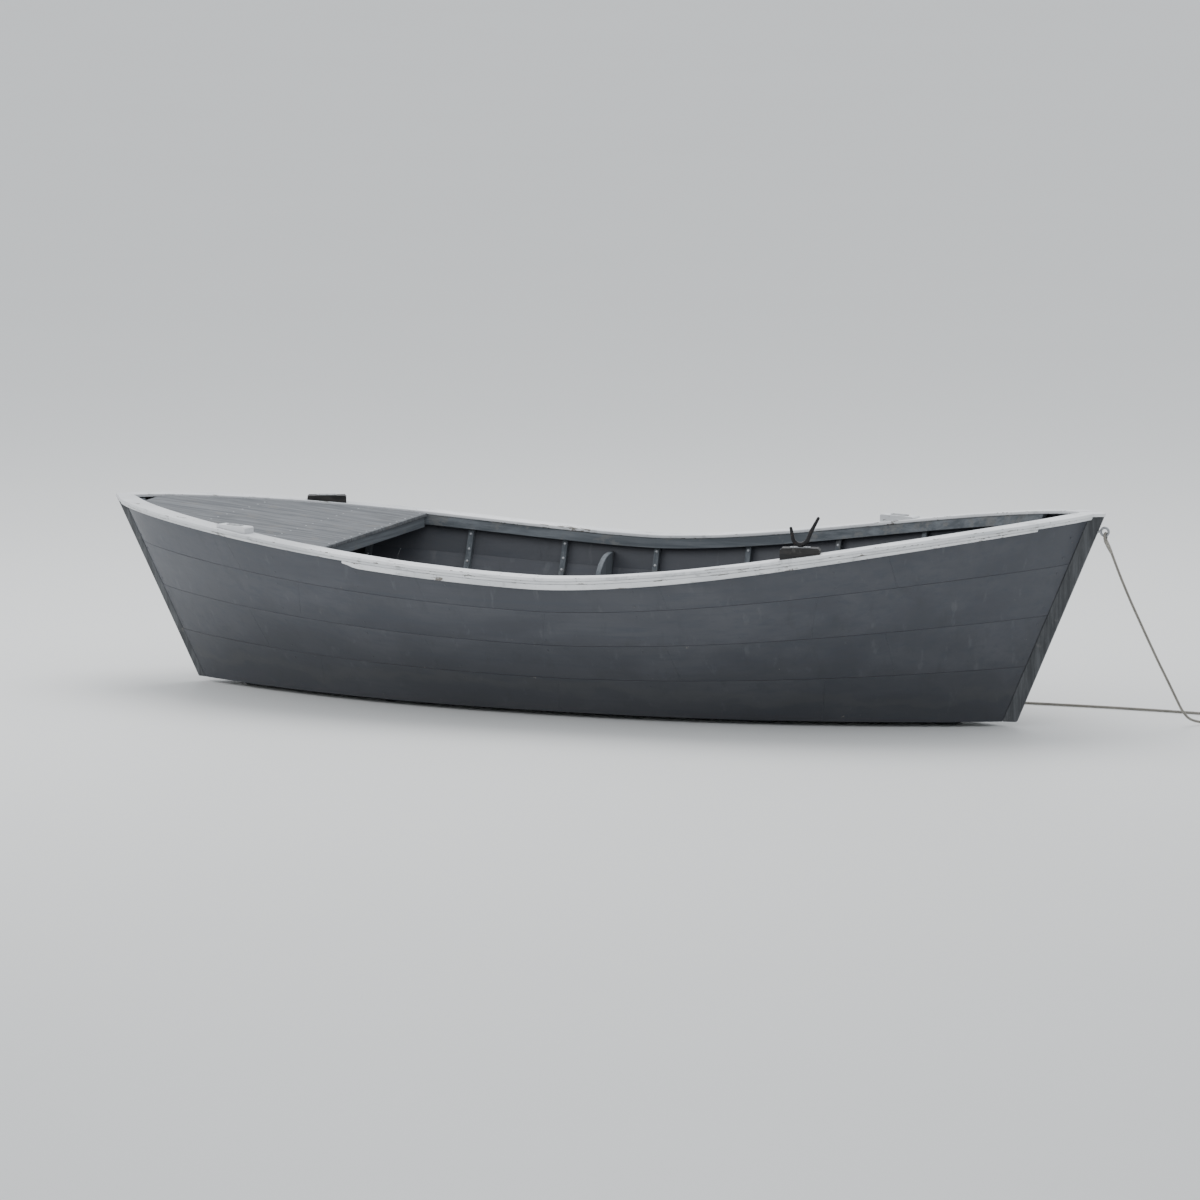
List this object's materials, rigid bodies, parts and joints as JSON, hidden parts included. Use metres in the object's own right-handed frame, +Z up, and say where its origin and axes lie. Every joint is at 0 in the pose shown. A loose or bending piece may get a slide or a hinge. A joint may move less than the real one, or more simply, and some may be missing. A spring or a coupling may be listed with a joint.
{
  "type": "double-ended rowing boat",
  "caption": "Open double-ended wooden rowing boat with a small stern deck, white rails, a shipped rowlock and a mooring rope at the bow.",
  "frame": {"origin": "on the ground under the middle of the flat keel shoe", "axes": "+X towards the bow, +Y to port, +Z up"},
  "size_m": [4.6567, 1.451, 0.8851],
  "materials": {
    "hull_paint": "worn slate-blue paint, satin",
    "bottom_paint": "dark bottom paint, matte",
    "cutwater_wood": "dark weathered timber, matte",
    "rail_paint": "worn off-white paint, satin",
    "chock_wood": "dark hardwood, oiled",
    "galvanised": "galvanised, dull",
    "rowlock_iron": "dark forged iron, worn",
    "bung_rubber": "matte",
    "rope": "laid natural rope, grey-beige",
    "deck_wood": "weathered grey paint, matte",
    "thwart_wood": "weathered grey timber, matte",
    "inner_wood": "weathered grey paint, matte"
  },
  "bodies": {
    "hull": {"bottom_plank_1": "bottom_paint", "bottom_plank_2": "bottom_paint", "bottom_plank_3": "bottom_paint", "bottom_plank_4": "bottom_paint", "bottom_plank_5": "bottom_paint", "strake_port_1": "hull_paint", "strake_port_2": "hull_paint", "strake_port_3": "hull_paint", "strake_port_4": "hull_paint", "strake_starboard_1": "hull_paint", "strake_starboard_2": "hull_paint", "strake_starboard_3": "hull_paint", "strake_starboard_4": "hull_paint", "keel_shoe": "bottom_paint", "bottom_runners": "bottom_paint", "stem_bow": "inner_wood", "stem_stern": "inner_wood", "cutwater_bow": "cutwater_wood", "cutwater_stern": "cutwater_wood", "frame_1": "inner_wood", "frame_2": "inner_wood", "frame_3": "inner_wood", "frame_4": "inner_wood", "frame_5": "inner_wood", "frame_6": "inner_wood", "frame_7": "inner_wood", "outwale_port": "rail_paint", "outwale_starboard": "rail_paint", "rubbing_strip_port": "rail_paint", "rubbing_strip_starboard": "rail_paint", "inwale_port": "inner_wood", "inwale_starboard": "inner_wood", "cap_rail_port": "rail_paint", "cap_rail_starboard": "rail_paint", "stem_caps": "rail_paint", "breasthook_bow": "inner_wood", "breasthook_stern": "inner_wood", "riser_port": "inner_wood", "riser_starboard": "inner_wood", "thwart_1": "thwart_wood", "thwart_2": "thwart_wood", "thwart_3": "thwart_wood", "thwart_knees": "inner_wood", "stern_deck": "deck_wood", "deck_beams": "inner_wood", "floorboards": "inner_wood", "rowlock_pad_bow_port": "rail_paint", "rowlock_pad_bow_starboard": "chock_wood", "rowlock_pad_stern_port": "chock_wood", "rowlock_pad_stern_starboard": "rail_paint", "rowlock_sockets": "galvanised", "socket_screws": "galvanised", "mooring_eye": "galvanised", "painter_splice": "rope", "painter_rope": "rope", "painter_coil": "rope", "painter_knot": "rope"},
    "rowlock": {"rowlock": "rowlock_iron"},
    "bung": {"drain_bung": "bung_rubber"}
  },
  "joints": [
    {"name": "rowlock_turn", "type": "hinge", "parent": "hull", "child": "rowlock", "pos_m": [1.07208, -0.58841, 0.75], "axis": [0, 0, 1], "continuous": true},
    {"name": "bung_lift", "type": "slide", "parent": "hull", "child": "bung", "axis": [0, 0, 1], "range_m": [0, 0.03]}
  ]
}
